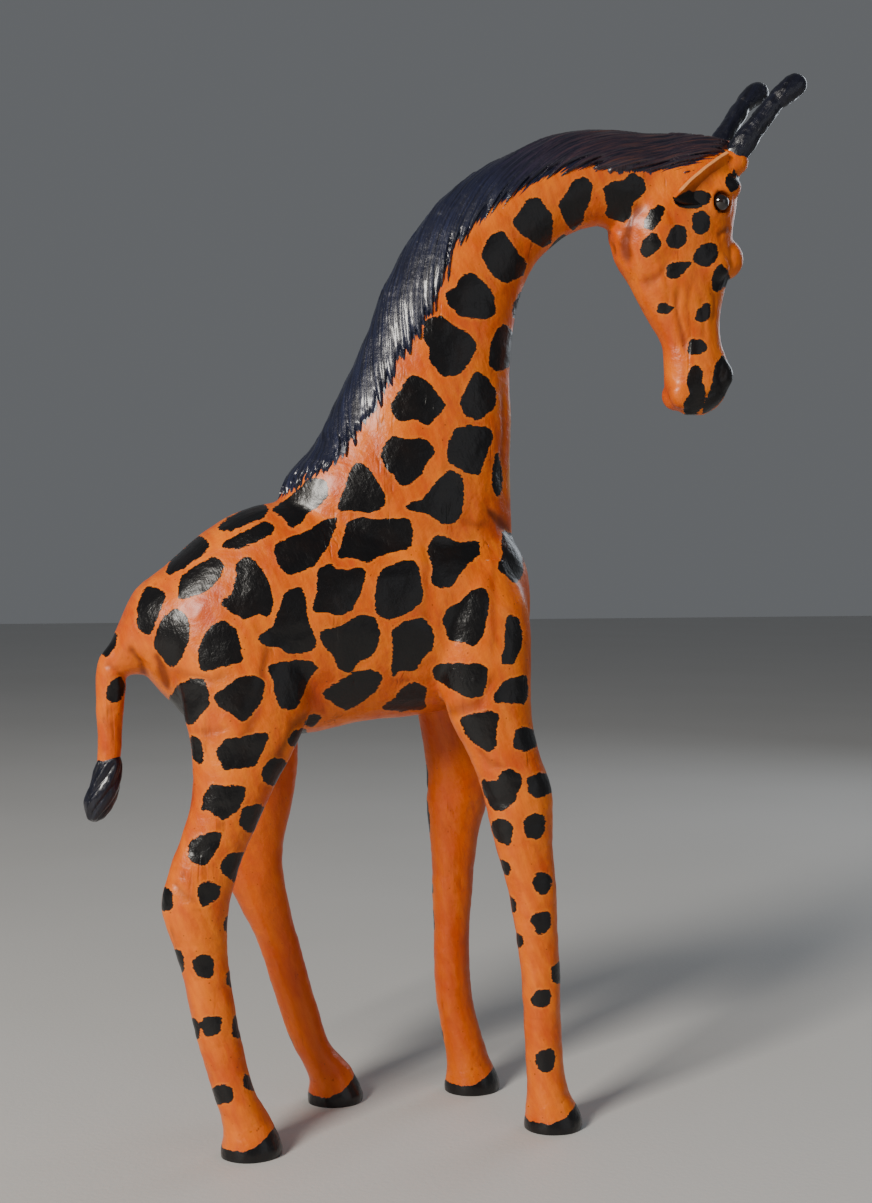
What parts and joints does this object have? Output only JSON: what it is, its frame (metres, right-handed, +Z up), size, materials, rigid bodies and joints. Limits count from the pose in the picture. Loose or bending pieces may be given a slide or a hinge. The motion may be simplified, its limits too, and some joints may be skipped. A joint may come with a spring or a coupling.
{
  "type": "carved giraffe statue",
  "caption": "Standing giraffe figure with a long arched neck: carved wooden core dowelled together, covered in spotted painted leather, with horns, ears and tail.",
  "frame": {"origin": "on the ground under the middle of the figure's bounding box", "axes": "+X the way the giraffe walks, +Y to its left, +Z up"},
  "size_m": [0.3242, 0.0834, 0.4705],
  "materials": {
    "carved_softwood": "bare knife-cut softwood",
    "dowel_wood": "turned hardwood dowel",
    "steel_wire": "plain wire",
    "orange_leather": "hand painted orange with dark spots, glossy lacquer",
    "black_leather": "blue-black paint, glossy lacquer",
    "black_hoof": "black paint chipped to orange at its edge, glossy lacquer",
    "glass_eye": "dark polished glass bead"
  },
  "bodies": {
    "root": {"torso_core": "carved_softwood", "neck_core": "carved_softwood", "head_core": "carved_softwood", "front_right_leg_core": "carved_softwood", "front_left_leg_core": "carved_softwood", "hind_right_leg_core": "carved_softwood", "hind_left_leg_core": "carved_softwood", "neck_dowel": "dowel_wood", "head_dowel": "dowel_wood", "leg_dowels": "dowel_wood", "hoof_pins": "steel_wire", "horn_pins": "steel_wire", "tail_wire": "steel_wire", "torso_hide": "orange_leather", "neck_hide": "orange_leather", "head_hide": "orange_leather", "front_right_leg_hide": "orange_leather", "front_left_leg_hide": "orange_leather", "hind_right_leg_hide": "orange_leather", "hind_left_leg_hide": "orange_leather", "tail_hide": "orange_leather", "tail_tuft": "black_leather", "mane": "black_leather", "right_ear": "orange_leather", "left_ear": "orange_leather", "right_horn": "black_leather", "left_horn": "black_leather", "right_eye": "glass_eye", "left_eye": "glass_eye", "front_right_hoof": "black_hoof", "front_left_hoof": "black_hoof", "hind_right_hoof": "black_hoof", "hind_left_hoof": "black_hoof"}
  },
  "joints": []
}
